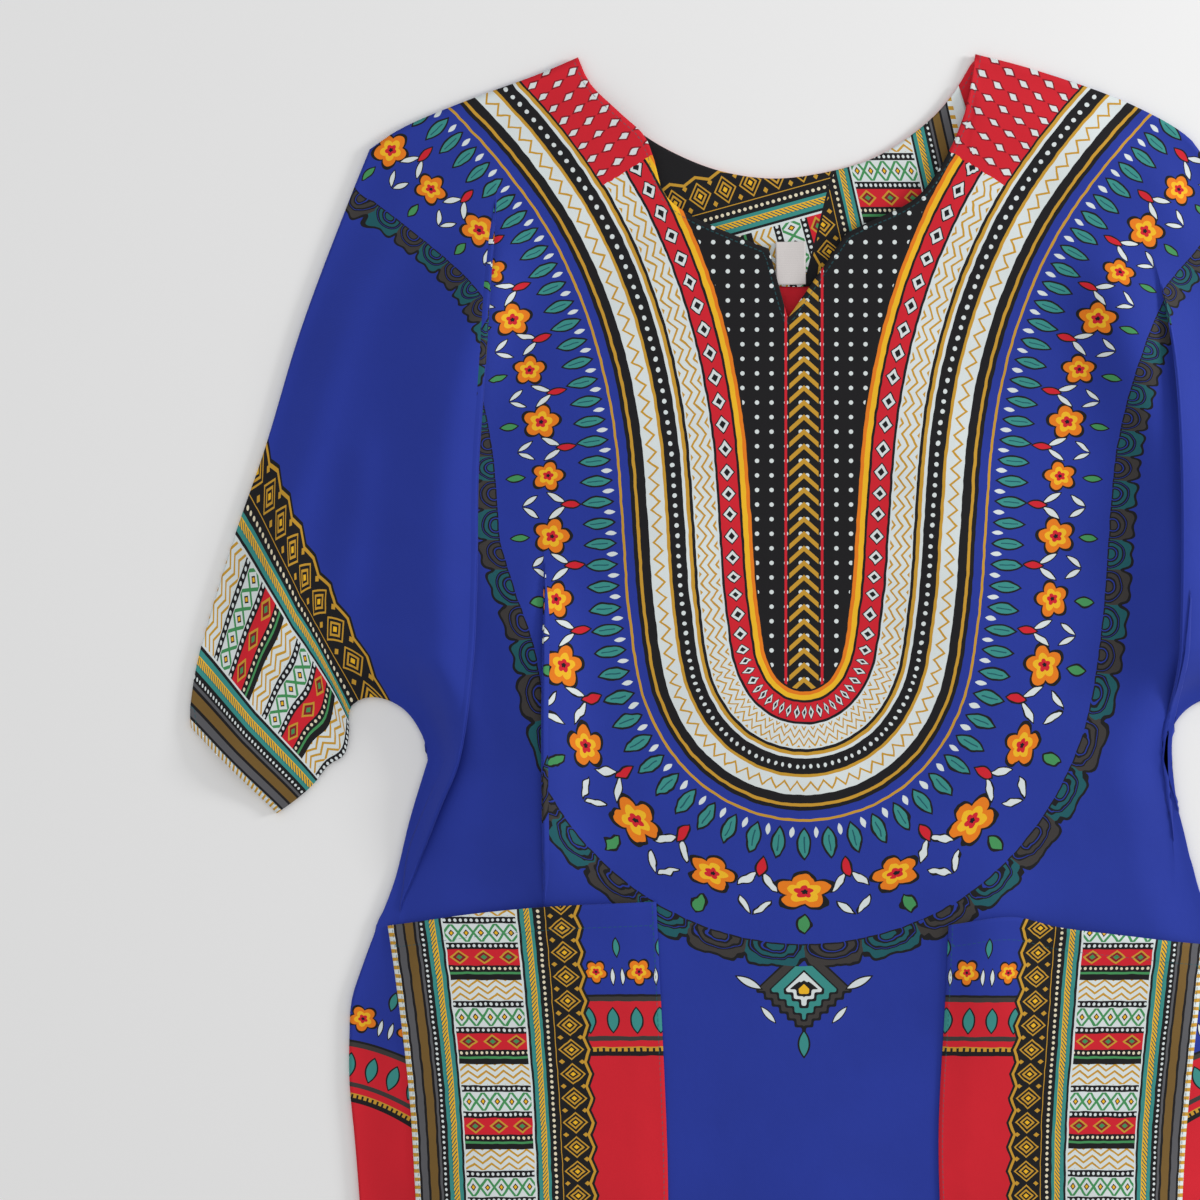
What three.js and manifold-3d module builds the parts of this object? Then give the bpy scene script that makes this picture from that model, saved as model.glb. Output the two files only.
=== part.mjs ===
// A patch-pocket dashiki shirt lying flat, front up, on a level surface.
// Millimetres, +Z up off the surface, +Y towards the neck, X = 0 on the centre line.
// Front and back are each cut in one with half of both sleeves. Everything lies on the back panel.
import * as THREE from 'three';
import Module from 'manifold-3d';

// ---- driving sizes -------------------------------------------------------------------------
const BODY_LENGTH = 780;      // highest point of the shoulder to the hem
const CLOTH = 1.2;            // wall of the front, the back and the pockets
const SEAM_GAP = 0.3;         // space kept between two pieces that are sewn together
const FACING_WALL = 1.0;      // wall of the back neck facing
const LABEL_WALL = 1.0;       // wall of the blank label
const LIFT = 5.0;             // how far the front stands off the back away from its seams
const SEAM_FLAT = 9;          // strip along a seam that stays pressed on the back
const SEAM_RAMP = 34;         // distance over which the front rises to its full lift
const COLUMN_STEP = 13.6;     // facet width across the body
const ROW_STEP = 25;          // facet length down the body
const LABEL_WIDTH = 18.5, LABEL_HEIGHT = 27, LABEL_OUT = -3, LABEL_DOWN = 116;
const FACING_TOP = 17;        // the facing stops this far below the neck points

// ---- outline tables: out = distance from the centre line, down = distance below the neck point
const SHOULDER_LEFT = [ // out, down, from the neck point to the tip of the shoulder
  [134.5, 1.9], [158, 12], [201.5, 28], [245, 46.5], [263.5, 59],
];
const SHOULDER_RIGHT = [
  [111.6, 0], [146, 9], [207.7, 31], [244, 52], [254, 66],
];
const SLEEVE_TOP_LEFT = [276, 90], SLEEVE_TOP_RIGHT = [267, 96]; // out, down, below the tip
const SLEEVE_OUTER = [ // out, down, along the fold of the sleeve to the corner of the cuff
  [306, 170], [328.6, 245], [345, 292], [359.6, 338], [371, 380], [375, 407],
];
const CUFF = [[374, 417], [321, 470]]; // out, down, both corners of the cuff
const SLEEVE_INNER = [ // out, down, from the cuff up to the top of the underarm
  [308, 460.5], [297.6, 451], [289, 440], [279.6, 434], [276.5, 420], [276, 405], [268, 399],
  [256, 398.7], [241, 406.7], [230, 424],
];
const BODY_SIDE = [ // out, down, from the underarm to the hem
  [227.5, 437], [238.7, 474], [248, 511.5], [258.5, 539], [267.8, 564], [274.7, 586],
  [276, 608], [276, 636], [272.8, 671], [269.7, 710], [267.5, 748], [266, 778],
];
const HEM = [[190, 779.5], [96, BODY_LENGTH], [0, 779]]; // out, down, corner to centre

const BACK_NECK = [ // x, down, left neck point to right neck point
  [-134.5, 1.9], [-127, 18.6], [-108.5, 37.2], [-90, 52.7], [-59, 68.2], [-34, 75], [-9.3, 76.9],
  [21.7, 72.5], [46.5, 65.1], [68.2, 52.7], [90, 34.1], [105.4, 12.4], [111.6, 0],
];
const FRONT_NECK_LEFT = [ // x, down, left neck point to the left lip of the slit
  [-134.5, 1.9], [-127, 18.6], [-108.5, 37.2], [-93, 52], [-86, 71], [-82, 86], [-69, 98],
  [-37, 113], [-16.7, 121],
];
const SLIT_END = [-5, 164]; // x, down, foot of the neck slit
const FRONT_NECK_RIGHT = [ // x, down, right lip of the slit to the right neck point
  [31, 111.6], [46, 104], [64, 96], [76, 88], [85, 77], [95, 60], [104, 38], [109, 18], [111.6, 0],
];
const FACING_LOWER = [ // x, down, lower edge of the back neck facing, left to right
  [-128, 48], [-112, 84], [-78, 116], [-40, 137], [0, 144], [36, 138], [72, 118], [98, 86], [110, 46],
];

// x, down, corner by corner from the top inner corner
const POCKET_LEFT = [
  [-86.2, 524], [-155, 527], [-252.3, 539.4], [-248, 566.7], [-242.4, 608], [-238, 650],
  [-234.4, 710], [-233, 734], [-78.6, 732], [-79.4, 677.7], [-83.7, 576.6],
];
const POCKET_RIGHT = [
  [93.6, 538], [132, 532.6], [161.2, 539.4], [254, 551], [250, 580], [245, 622], [241, 664],
  [238, 712], [237, 736], [89.6, 733], [88, 669.6], [91, 600],
];

// Folds of the front. path = x, down; rise = height of the crest, near and far = half widths of
// its two flanks (towards the middle of the body, towards the side), fade = run-out at the ends.
const FOLDS = [
  { name: 'left sleeve crest', rise: 8, near: 26, far: 20, fade: 70,
    path: [[-278, 110], [-304, 190], [-330, 290], [-345, 360]] },
  { name: 'left arm fold', rise: 15, near: 20, far: 34, fade: 70,
    path: [[-176, 92], [-196, 160], [-216, 230], [-222, 330], [-222, 420], [-232, 500]] },
  { name: 'left inner sleeve fold', rise: 5, near: 14, far: 16, fade: 50,
    path: [[-262, 210], [-272, 300], [-286, 370]] },
  { name: 'left side tuck', rise: 11, near: 22, far: 36, fade: 60,
    path: [[-172, 300], [-160, 380], [-156, 450], [-157, 540]] },
  { name: 'right chest crease', rise: 6, near: 40, far: 24, fade: 70,
    path: [[116, 470], [118, 540], [124, 640]] },
  { name: 'right arm fold', rise: 13, near: 24, far: 32, fade: 70,
    path: [[178, 100], [206, 180], [228, 260], [234, 350], [232, 440], [238, 500]] },
  { name: 'right sleeve crest', rise: 8, near: 26, far: 20, fade: 70,
    path: [[280, 120], [306, 200], [331, 300], [344, 365]] },
  { name: 'left hem wave', rise: 4.5, near: 34, far: 34, fade: 60,
    path: [[-186, 640], [-190, 770]] },
  { name: 'middle hem wave', rise: 3.5, near: 42, far: 42, fade: 80,
    path: [[10, 610], [4, 775]] },
  { name: 'right hem wave', rise: 4.5, near: 34, far: 34, fade: 60,
    path: [[196, 660], [200, 770]] },
  { name: 'left chest swell', rise: 3.5, near: 46, far: 40, fade: 90,
    path: [[-88, 200], [-92, 420]] },
  { name: 'right chest swell', rise: 3.5, near: 46, far: 40, fade: 90,
    path: [[92, 190], [98, 400]] },
];

// ---- small helpers -------------------------------------------------------------------------
const MIDDLE = BODY_LENGTH / 2;
const yOf = (down) => MIDDLE - down;
const smooth = (t) => { const c = Math.min(Math.max(t, 0), 1); return c * c * (3 - 2 * c); };

// A soft curve through [x, down] points, as Vector2 in the frame.
function softRun(points, perSpan = 2) {
  const knots = points.map(([x, down]) => new THREE.Vector3(x, yOf(down), 0));
  const curve = new THREE.CatmullRomCurve3(knots, false, 'centripetal');
  const count = perSpan * (points.length - 1);
  return curve.getPoints(count).map((p) => new THREE.Vector2(p.x, p.y));
}
const straightRun = (points) => points.map(([x, down]) => new THREE.Vector2(x, yOf(down)));
const onSide = (points, side) => points.map(([out, down]) => [out * side, down]);

// Edges of one half of the garment, from the neck point round to the middle of the hem.
function halfEdges(side) {
  const shoulder = side < 0 ? SHOULDER_LEFT : SHOULDER_RIGHT;
  const top = side < 0 ? SLEEVE_TOP_LEFT : SLEEVE_TOP_RIGHT;
  const tip = shoulder[shoulder.length - 1];
  const cuffCorner = SLEEVE_OUTER[SLEEVE_OUTER.length - 1];
  const underarm = SLEEVE_INNER[SLEEVE_INNER.length - 1];
  const sideFoot = BODY_SIDE[BODY_SIDE.length - 1];
  return {
    shoulder: softRun(onSide(shoulder, side)),
    outer: softRun(onSide([tip, top, ...SLEEVE_OUTER], side)),
    cuff: straightRun(onSide([cuffCorner, ...CUFF], side)),
    inner: softRun(onSide([CUFF[1], ...SLEEVE_INNER], side)),
    flank: softRun(onSide([underarm, ...BODY_SIDE], side)),
    hem: softRun(onSide([sideFoot, ...HEM], side)),
  };
}
const LEFT = halfEdges(-1);
const RIGHT = halfEdges(1);

// Joins runs end to end into one loop without repeated points.
function loopOf(runs) {
  const loop = [];
  for (const run of runs) {
    for (const p of run) {
      const last = loop[loop.length - 1];
      if (!last || last.distanceTo(p) > 0.05) loop.push(p);
    }
  }
  if (loop[0].distanceTo(loop[loop.length - 1]) < 0.05) loop.pop();
  return THREE.ShapeUtils.area(loop) < 0 ? loop.reverse() : loop;
}
const backwards = (run) => [...run].reverse();
const sideRuns = (half) => [half.shoulder, half.outer, half.cuff, half.inner, half.flank, half.hem];

function garmentLoop(neckRun) {
  // the neck edge runs left to right; the right half then goes round to the middle of the hem
  const leftBack = backwards(sideRuns(LEFT)).map(backwards);
  return loopOf([neckRun, ...sideRuns(RIGHT), ...leftBack]);
}

// Distance from a point to a run of straight pieces.
function toRun(x, y, run) {
  let best = Infinity;
  for (let i = 0; i + 1 < run.length; i += 1) {
    const a = run[i], b = run[i + 1];
    const dx = b.x - a.x, dy = b.y - a.y;
    const t = Math.min(Math.max(((x - a.x) * dx + (y - a.y) * dy) / (dx * dx + dy * dy || 1), 0), 1);
    best = Math.min(best, Math.hypot(x - a.x - t * dx, y - a.y - t * dy));
  }
  return best;
}
const SEWN = [LEFT, RIGHT].flatMap((h) => [h.shoulder, h.outer, h.inner, h.flank]);
const seamDistance = (x, y) => Math.min(...SEWN.map((run) => toRun(x, y, run)));

// Height of one fold: a rounded crest along its path that runs out at both ends.
for (const fold of FOLDS) fold.run = softRun(fold.path, 4);
function foldHeight(fold, x, y) {
  let best = Infinity, side = 1, along = 0, done = 0;
  const run = fold.run;
  for (let i = 0; i + 1 < run.length; i += 1) {
    const a = run[i], b = run[i + 1];
    const dx = b.x - a.x, dy = b.y - a.y, span = Math.hypot(dx, dy);
    const t = ((x - a.x) * dx + (y - a.y) * dy) / (span * span);
    const c = Math.min(Math.max(t, 0), 1);
    const away = Math.hypot(x - a.x - c * dx, y - a.y - c * dy);
    if (away < best) {
      best = away;
      side = Math.sign((x - a.x - c * dx) * Math.sign(a.x || 1)) || 1;
      along = done + c * span;
    }
    done += span;
  }
  const width = side > 0 ? fold.far : fold.near;
  const ends = smooth(along / fold.fade) * smooth((done - along) / fold.fade);
  const crest = Math.exp(-((best / width) ** 2));
  return fold.rise * crest * ends;
}

// Underside of the front above the surface: pressed on the back at the seams, lifted by its folds.
function frontUnderside(x, y) {
  const base = CLOTH + SEAM_GAP;
  const rise = smooth((seamDistance(x, y) - SEAM_FLAT) / SEAM_RAMP);
  const folds = FOLDS.reduce((sum, fold) => sum + foldHeight(fold, x, y), 0);
  return base + rise * (LIFT + folds);
}

// ---- solids --------------------------------------------------------------------------------
function solidOf(wasm, positions, triangles) {
  const mesh = new wasm.Mesh({
    numProp: 3,
    vertProperties: new Float32Array(positions),
    triVerts: new Uint32Array(triangles),
  });
  return new wasm.Manifold(mesh);
}

// A straight-sided block over a loop, between two heights.
function prism(wasm, loop, low, high) {
  const faces = THREE.ShapeUtils.triangulateShape(loop, []);
  const n = loop.length, positions = [], triangles = [];
  for (const z of [low, high]) for (const p of loop) positions.push(p.x, p.y, z);
  for (const [a, b, c] of faces) triangles.push(a, c, b, n + a, n + b, n + c);
  for (let i = 0; i < n; i += 1) {
    const j = (i + 1) % n;
    triangles.push(i, j, n + j, i, n + j, n + i);
  }
  return solidOf(wasm, positions, triangles);
}

const evenSteps = (from, to, step) => {
  const count = Math.ceil((to - from) / step);
  return Array.from({ length: count + 1 }, (_, i) => from + ((to - from) * i) / count);
};

// The front's own grid of points between two offsets above its underside.
function frontSheet(wasm, from, to, window) {
  const pick = (list, low, high) => list.filter((v, i) =>
    (i + 1 >= list.length || list[i + 1] > low) && (i === 0 || list[i - 1] < high));
  const columns = pick(evenSteps(-388, 388, COLUMN_STEP), window.left, window.right);
  const rows = pick(evenSteps(-402, 402, ROW_STEP), window.low, window.high);
  const nx = columns.length, ny = rows.length, positions = [], triangles = [];
  for (const lift of [from, to]) {
    for (const y of rows) for (const x of columns) positions.push(x, y, frontUnderside(x, y) + lift);
  }
  const at = (layer, j, i) => layer * nx * ny + j * nx + i;
  for (let j = 0; j + 1 < ny; j += 1) {
    for (let i = 0; i + 1 < nx; i += 1) {
      for (const layer of [0, 1]) {
        const a = at(layer, j, i), b = at(layer, j, i + 1);
        const c = at(layer, j + 1, i + 1), d = at(layer, j + 1, i);
        if (layer) triangles.push(a, b, c, a, c, d);
        else triangles.push(a, c, b, a, d, c);
      }
    }
  }
  const wall = (j0, i0, j1, i1) => {
    const a = at(0, j0, i0), b = at(0, j1, i1), c = at(1, j1, i1), d = at(1, j0, i0);
    triangles.push(a, b, c, a, c, d);
  };
  for (let i = 0; i + 1 < nx; i += 1) { wall(0, i, 0, i + 1); wall(ny - 1, i + 1, ny - 1, i); }
  for (let j = 0; j + 1 < ny; j += 1) { wall(j + 1, 0, j, 0); wall(j, nx - 1, j + 1, nx - 1); }
  return solidOf(wasm, positions, triangles);
}
const WHOLE = { left: -400, right: 400, low: -410, high: 410 };

function windowOf(loop) {
  const xs = loop.map((p) => p.x), ys = loop.map((p) => p.y);
  return {
    left: Math.min(...xs), right: Math.max(...xs), low: Math.min(...ys), high: Math.max(...ys),
  };
}

function meshOf(solid, name, colour, roughness) {
  const source = solid.getMesh();
  const geometry = new THREE.BufferGeometry();
  const positions = new Float32Array(source.numVert * 3);
  for (let i = 0; i < source.numVert; i += 1) {
    for (let k = 0; k < 3; k += 1) {
      positions[3 * i + k] = source.vertProperties[source.numProp * i + k];
    }
  }
  geometry.setAttribute('position', new THREE.BufferAttribute(positions, 3));
  geometry.setIndex(new THREE.BufferAttribute(new Uint32Array(source.triVerts), 1));
  geometry.computeVertexNormals();
  const material = new THREE.MeshStandardMaterial({ color: colour, roughness, metalness: 0 });
  material.flatShading = true;
  const mesh = new THREE.Mesh(geometry, material);
  mesh.name = name;
  return mesh;
}

// ---- the pieces ----------------------------------------------------------------------------
const wasm = await Module();
wasm.setup();
const shirt = new THREE.Group();
shirt.name = 'dashiki_shirt';

const backLoop = garmentLoop(softRun(BACK_NECK));
shirt.add(meshOf(prism(wasm, backLoop, 0, CLOTH), 'back', 0x2238a0, 0.86));

const slit = straightRun([FRONT_NECK_LEFT.at(-1), SLIT_END, FRONT_NECK_RIGHT[0]]);
const frontLoop = garmentLoop([...softRun(FRONT_NECK_LEFT), ...slit, ...softRun(FRONT_NECK_RIGHT)]);
const front = frontSheet(wasm, 0, CLOTH, WHOLE).intersect(prism(wasm, frontLoop, -5, 60));
shirt.add(meshOf(front, 'front', 0x2a40ad, 0.86));

const facingFoot = CLOTH + SEAM_GAP;
const upperEdge = softRun(BACK_NECK).filter((p) => p.y < yOf(FACING_TOP));
const facingLoop = loopOf([upperEdge, backwards(softRun(FACING_LOWER))]);
const facing = prism(wasm, facingLoop, facingFoot, facingFoot + FACING_WALL);
shirt.add(meshOf(facing, 'back_neck_facing', 0xb79a3c, 0.86));

const labelFoot = facingFoot + FACING_WALL + SEAM_GAP;
const half = LABEL_WIDTH / 2;
const labelLoop = loopOf([straightRun([
  [LABEL_OUT - half, LABEL_DOWN], [LABEL_OUT + half, LABEL_DOWN],
  [LABEL_OUT + half, LABEL_DOWN + LABEL_HEIGHT], [LABEL_OUT - half, LABEL_DOWN + LABEL_HEIGHT],
])]);
const label = prism(wasm, labelLoop, labelFoot, labelFoot + LABEL_WALL);
shirt.add(meshOf(label, 'neck_label', 0xe6e6e4, 0.7));

// a pocket is the front's own surface moved out, cut to the pocket's outline
for (const [name, table] of [['pocket_left', POCKET_LEFT], ['pocket_right', POCKET_RIGHT]]) {
  const loop = loopOf([straightRun(table)]);
  const foot = CLOTH + SEAM_GAP;
  const sheet = frontSheet(wasm, foot, foot + CLOTH, windowOf(loop));
  const pocket = sheet.intersect(prism(wasm, loop, -5, 60));
  shirt.add(meshOf(pocket, name, 0x8a7a3a, 0.86));
}

export default shirt;
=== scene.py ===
"""A patch-pocket dashiki shirt lying flat, front up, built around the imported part."""

import bpy
import numpy as np
from bpy.props import FloatProperty, FloatVectorProperty, PointerProperty
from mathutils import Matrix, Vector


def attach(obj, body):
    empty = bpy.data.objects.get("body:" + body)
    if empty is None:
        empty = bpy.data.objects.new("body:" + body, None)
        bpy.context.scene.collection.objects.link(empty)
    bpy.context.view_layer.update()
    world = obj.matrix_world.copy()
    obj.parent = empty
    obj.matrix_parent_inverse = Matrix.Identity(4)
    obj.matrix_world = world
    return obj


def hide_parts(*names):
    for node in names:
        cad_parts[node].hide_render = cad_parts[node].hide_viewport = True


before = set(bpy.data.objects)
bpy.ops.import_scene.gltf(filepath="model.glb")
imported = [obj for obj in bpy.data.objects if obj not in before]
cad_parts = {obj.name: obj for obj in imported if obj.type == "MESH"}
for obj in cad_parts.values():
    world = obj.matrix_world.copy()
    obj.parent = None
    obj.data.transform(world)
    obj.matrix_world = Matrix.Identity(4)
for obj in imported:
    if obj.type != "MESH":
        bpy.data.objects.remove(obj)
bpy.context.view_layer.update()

bl_info = {
    "name": "Dashiki shirt",
    "version": (1, 0, 0),
    "blender": (4, 5, 0),
    "location": "View3D > Sidebar > Dashiki",
    "description": "Builds a printed pullover shirt with patch pockets, lying flat",
    "category": "Add Mesh",
}

# Lengths are in mm. The stage alone is in metres.
MM = 0.001
MIDDLE = 390.0  # half the length of the body: down = MIDDLE - y
CLOTH = 1.2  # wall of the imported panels
SEAM_GAP = 0.3  # space between sewn pieces
LIFT = 5.0  # how far the front stands off the back
SEAM_FLAT, SEAM_RAMP = 3.6, 34.0  # pressed strip along a seam, and the rise behind it
TUCK_RAMP = 16.0  # the rise of a tuck behind a seam
CREST_SPREAD = 30.0  # how far a tuck's swelling reaches behind its edge
BACK_TOP, BACK_WALL = 1.1, 1.05  # upper face and wall of the back
FACING_TOP, FACING_WALL, FACING_WAVE = 2.5, 0.8, 0.25
LABEL_TOP, LABEL_WALL, LABEL_CURL = 3.6, 0.5, 0.5
POCKET_GAP, POCKET_PUFF, POCKET_GAPE = 0.35, 1.3, 1.8  # off the front; swelling; open edge
PRINT_CENTRE = 5.0  # the print's centre line, out from the shirt's own

# ---- tables of the cut: out = from the centre line, down = below the neck point --------------
SHOULDER = {
    -1: [(134.5, 1.9), (158, 12), (201.5, 28), (245, 46.5), (263.5, 59)],
    1: [(111.6, 0), (146, 9), (207.7, 31), (244, 52), (254, 66)],
}
SLEEVE_TOP = {-1: (276, 90), 1: (267, 96)}
SLEEVE_OUTER = [(306, 170), (328.6, 245), (345, 292), (359.6, 338), (371, 380), (375, 407)]
CUFF = [(374, 417), (321, 470)]
SLEEVE_INNER = [
    (308, 460.5), (297.6, 451), (289, 440), (279.6, 434), (276.5, 420), (276, 405),
    (268, 399), (256, 398.7), (241, 406.7), (230, 424),
]
BODY_SIDE = [
    (227.5, 437), (238.7, 474), (248, 511.5), (258.5, 539), (267.8, 564), (274.7, 586),
    (276, 608), (276, 636), (272.8, 671), (269.7, 710), (267.5, 748), (266, 778),
]
HEM = [(190, 779.5), (96, 780), (0, 779)]
BACK_NECK = [
    (-134.5, 1.9), (-127, 18.6), (-108.5, 37.2), (-90, 52.7), (-59, 68.2), (-34, 75), (-9.3, 76.9),
    (21.7, 72.5), (46.5, 65.1), (68.2, 52.7), (90, 34.1), (105.4, 12.4), (111.6, 0),
]
FRONT_NECK_LEFT = [
    (-134.5, 1.9), (-127, 18.6), (-108.5, 37.2), (-93, 52), (-86, 71), (-82, 86), (-69, 98),
    (-37, 113), (-16.7, 121),
]
SLIT_END = (-5, 164)
FRONT_NECK_RIGHT = [
    (31, 111.6), (46, 104), (64, 96), (76, 88), (85, 77), (95, 60), (104, 38), (109, 18),
    (111.6, 0),
]
FACING_LOWER = [
    (-128, 48), (-112, 84), (-78, 116), (-40, 137), (0, 144), (36, 138), (72, 118), (98, 86),
    (110, 46),
]
FACING_START = 17  # the facing's upper edge is the back neck below this level
LABEL_ENDS = [[(-12.3, 116.5), (6.2, 116)], [(-12, 143), (6.4, 142.6)]]  # upper, lower

# Folds of the front: rise, half widths of the flank towards the middle and of the one towards the
# side, run-out at the ends, and the path as (x, down).
FOLDS = [
    (8, 26, 20, 70, [(-278, 110), (-304, 190), (-330, 290), (-345, 360)]),
    (15, 20, 34, 70, [(-176, 92), (-196, 160), (-216, 230), (-222, 330), (-222, 420), (-232, 500)]),
    (5, 14, 16, 50, [(-262, 210), (-272, 300), (-286, 370)]),
    (11, 22, 36, 60, [(-172, 300), (-160, 380), (-156, 450), (-157, 540)]),
    (6, 40, 24, 70, [(116, 470), (118, 540), (124, 640)]),
    (13, 24, 32, 70, [(178, 100), (206, 180), (228, 260), (234, 350), (232, 440), (238, 500)]),
    (8, 26, 20, 70, [(280, 120), (306, 200), (331, 300), (344, 365)]),
    (4.5, 34, 34, 60, [(-186, 640), (-190, 770)]),
    (3.5, 42, 42, 80, [(10, 610), (4, 775)]),
    (4.5, 34, 34, 60, [(196, 660), (200, 770)]),
    (3.5, 46, 40, 90, [(-88, 200), (-92, 420)]),
    (3.5, 46, 40, 90, [(92, 190), (98, 400)]),
]


# ---- curves ------------------------------------------------------------------------------------
def soft_run(points, per_span=6):
    """A centripetal Catmull-Rom curve: between two knots, a cubic whose end slopes are the
    differences to the neighbouring knots, each weighed by the square root of its chord."""
    p = np.asarray(points, float)
    p = np.vstack([2 * p[0] - p[1], p, 2 * p[-1] - p[-2]])
    gap = np.sqrt(np.linalg.norm(np.diff(p, axis=0), axis=1))[:, None]
    a, b, c, d = p[:-3], p[1:-2], p[2:-1], p[3:]
    g0, g1, g2 = gap[:-2], gap[1:-1], gap[2:]
    m1 = ((b - a) / g0 - (c - a) / (g0 + g1) + (c - b) / g1) * g1
    m2 = ((c - b) / g1 - (d - b) / (g1 + g2) + (d - c) / g2) * g1
    t = (np.arange(per_span) / per_span)[None, :, None]
    b, c, m1, m2 = (v[:, None, :] for v in (b, c, m1, m2))
    curve = (2 * t**3 - 3 * t**2 + 1) * b + (t**3 - 2 * t**2 + t) * m1
    curve = curve + (3 * t**2 - 2 * t**3) * c + (t**3 - t**2) * m2
    return np.vstack([curve.reshape(-1, 2), p[-2:-1]])


def lengths(run):
    """Distance travelled along a run at each of its points."""
    return np.r_[0, np.cumsum(np.linalg.norm(np.diff(run, axis=0), axis=1))]


def at_share(run, share):
    """Points at the given shares of a run's length."""
    done = lengths(run)
    want = np.asarray(share) * done[-1]
    return np.stack([np.interp(want, done, run[:, 0]), np.interp(want, done, run[:, 1])], -1)


def smooth(t):
    """Rises from 0 to 1 with level ends: three squares less two cubes."""
    t = np.clip(t, 0, 1)
    return t * t * (3 - 2 * t)


def nearest(x, y, run):
    """Distance from each point to a run of straight pieces, the distance travelled along it to
    the nearest spot, and the side: the sign of the cross product with the run's direction."""
    best = np.full(x.shape, np.inf)
    along, side = np.zeros(x.shape), np.ones(x.shape)
    done = lengths(run)
    for i, (a, b) in enumerate(zip(run[:-1], run[1:])):
        step = b - a
        span = max(step @ step, 1e-9)
        t = np.clip(((x - a[0]) * step[0] + (y - a[1]) * step[1]) / span, 0, 1)
        rx, ry = x - a[0] - t * step[0], y - a[1] - t * step[1]
        gap = np.hypot(rx, ry)
        closer = gap < best
        best = np.where(closer, gap, best)
        along = np.where(closer, done[i] + t * np.sqrt(span), along)
        side = np.where(closer, np.sign(step[0] * ry - step[1] * rx), side)
    return best, along, side


def half_edges(side):
    """The outline of one half of the shirt as runs of (x, down), from the neck to the hem."""

    def turned(points):
        """Points given outwards from the centre line, put on this side of it."""
        return [(out * side, down) for out, down in points]

    tip, corner = SHOULDER[side][-1], SLEEVE_OUTER[-1]
    return {
        "shoulder": soft_run(turned(SHOULDER[side])),
        "outer": soft_run(turned([tip, SLEEVE_TOP[side], *SLEEVE_OUTER])),
        "cuff": np.array(turned([corner, *CUFF]), float),
        "inner": soft_run(turned([CUFF[1], *SLEEVE_INNER, BODY_SIDE[0]])),
        "flank": soft_run(turned(BODY_SIDE)),
        "hem": soft_run(turned([BODY_SIDE[-1], *HEM])),
    }


EDGES = {side: half_edges(side) for side in (-1, 1)}


# ---- relief of the front -----------------------------------------------------------------------
def fold_height(x, down, fold):
    """One fold: a bell across its path, wider on one flank than the other, run out at both ends."""
    rise, near, far, fade, path = fold
    run = soft_run(path, 4)
    away, along, _ = nearest(x, down, run)
    path_x = np.interp(along, lengths(run), run[:, 0])
    outward = (x - path_x) * np.sign(run[:, 0].mean()) > 0
    width = np.where(outward, far, near)
    run_out = smooth(along / fade) * smooth((lengths(run)[-1] - along) / fade)
    return rise * np.exp(-((away / width) ** 2)) * run_out


def seam_rise(x, down, ramp=SEAM_RAMP):
    """0 on the strip pressed along the seams, rising smoothly to 1 inside it."""
    sewn = ("shoulder", "outer", "inner", "flank")
    gaps = [nearest(x, down, EDGES[side][key])[0] for side in (-1, 1) for key in sewn]
    return smooth((np.min(gaps, axis=0) - SEAM_FLAT) / ramp)


def front_height(x, down):
    """Underside of the front: the back's thickness and the seam gap, plus lift and folds."""
    folds = sum(fold_height(x, down, fold) for fold in FOLDS)
    return CLOTH + SEAM_GAP + seam_rise(x, down) * (LIFT + folds)


# ---- tucks: the cloth laps over itself along a line --------------------------------------------
class Tuck:
    """line: (x, down) of the lap's edge; depth: how far it laps at its middle; rise: height of
    the edge; outer_on_top: whether the layer towards the side lies on the other; ends: where it
    starts and stops, down; fade: run-out at each end."""

    def __init__(self, side, line, depth, rise, outer_on_top, ends, fade):
        self.side, self.depth, self.rise = side, depth, rise
        self.outer_on_top, self.ends, self.fade = outer_on_top, ends, fade
        run = soft_run(line)
        self.line = run[np.argsort(run[:, 1])]

    def strength(self, down):
        """0 beyond the ends, 1 between the two run-outs."""
        first, last = self.ends
        return smooth((down - first) / self.fade[0]) * smooth((last - down) / self.fade[1])

    def lap(self, down):
        """How far the cloth laps at each height."""
        return self.depth * self.strength(down)

    def edge(self, down):
        """How far out of the centre the lap's edge lies."""
        return self.side * np.interp(down, self.line[:, 1], self.line[:, 0])


ARM_TUCK = Tuck(
    -1,
    [(-182, -10), (-183, 60), (-185, 121), (-189, 187), (-194, 257), (-195, 330), (-197, 375),
     (-206, 437), (-218, 466), (-236, 512), (-243, 530), (-246, 560), (-246, 800)],
    12, 7, True, (70, 545), (90, 60),
)
CHEST_TUCK = Tuck(
    -1, [(-150, -10), (-152, 150), (-156, 300), (-158, 420), (-157, 530), (-157, 800)],
    8.5, 4, False, (290, 545), (90, 60),
)
RIGHT_TUCK = Tuck(
    1, [(196, -10), (206, 60), (222, 140), (230, 200), (233, 300), (230, 400), (226, 430),
        (236, 520), (244, 800)],
    6, 6, True, (110, 520), (90, 90),
)
TUCKS = {-1: [CHEST_TUCK, ARM_TUCK], 1: [RIGHT_TUCK]}  # from the middle outwards


def soft_clip(v, top, round_off=2.2):
    """v kept between 0 and top, with rounded corners: one hyperbola less the same moved by top."""

    def ramp(u):
        """0 below 0 and u above it, joined by a hyperbola."""
        return 0.5 * (u + np.sqrt(u * u + round_off * round_off))

    return ramp(v) - ramp(v - top)


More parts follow.
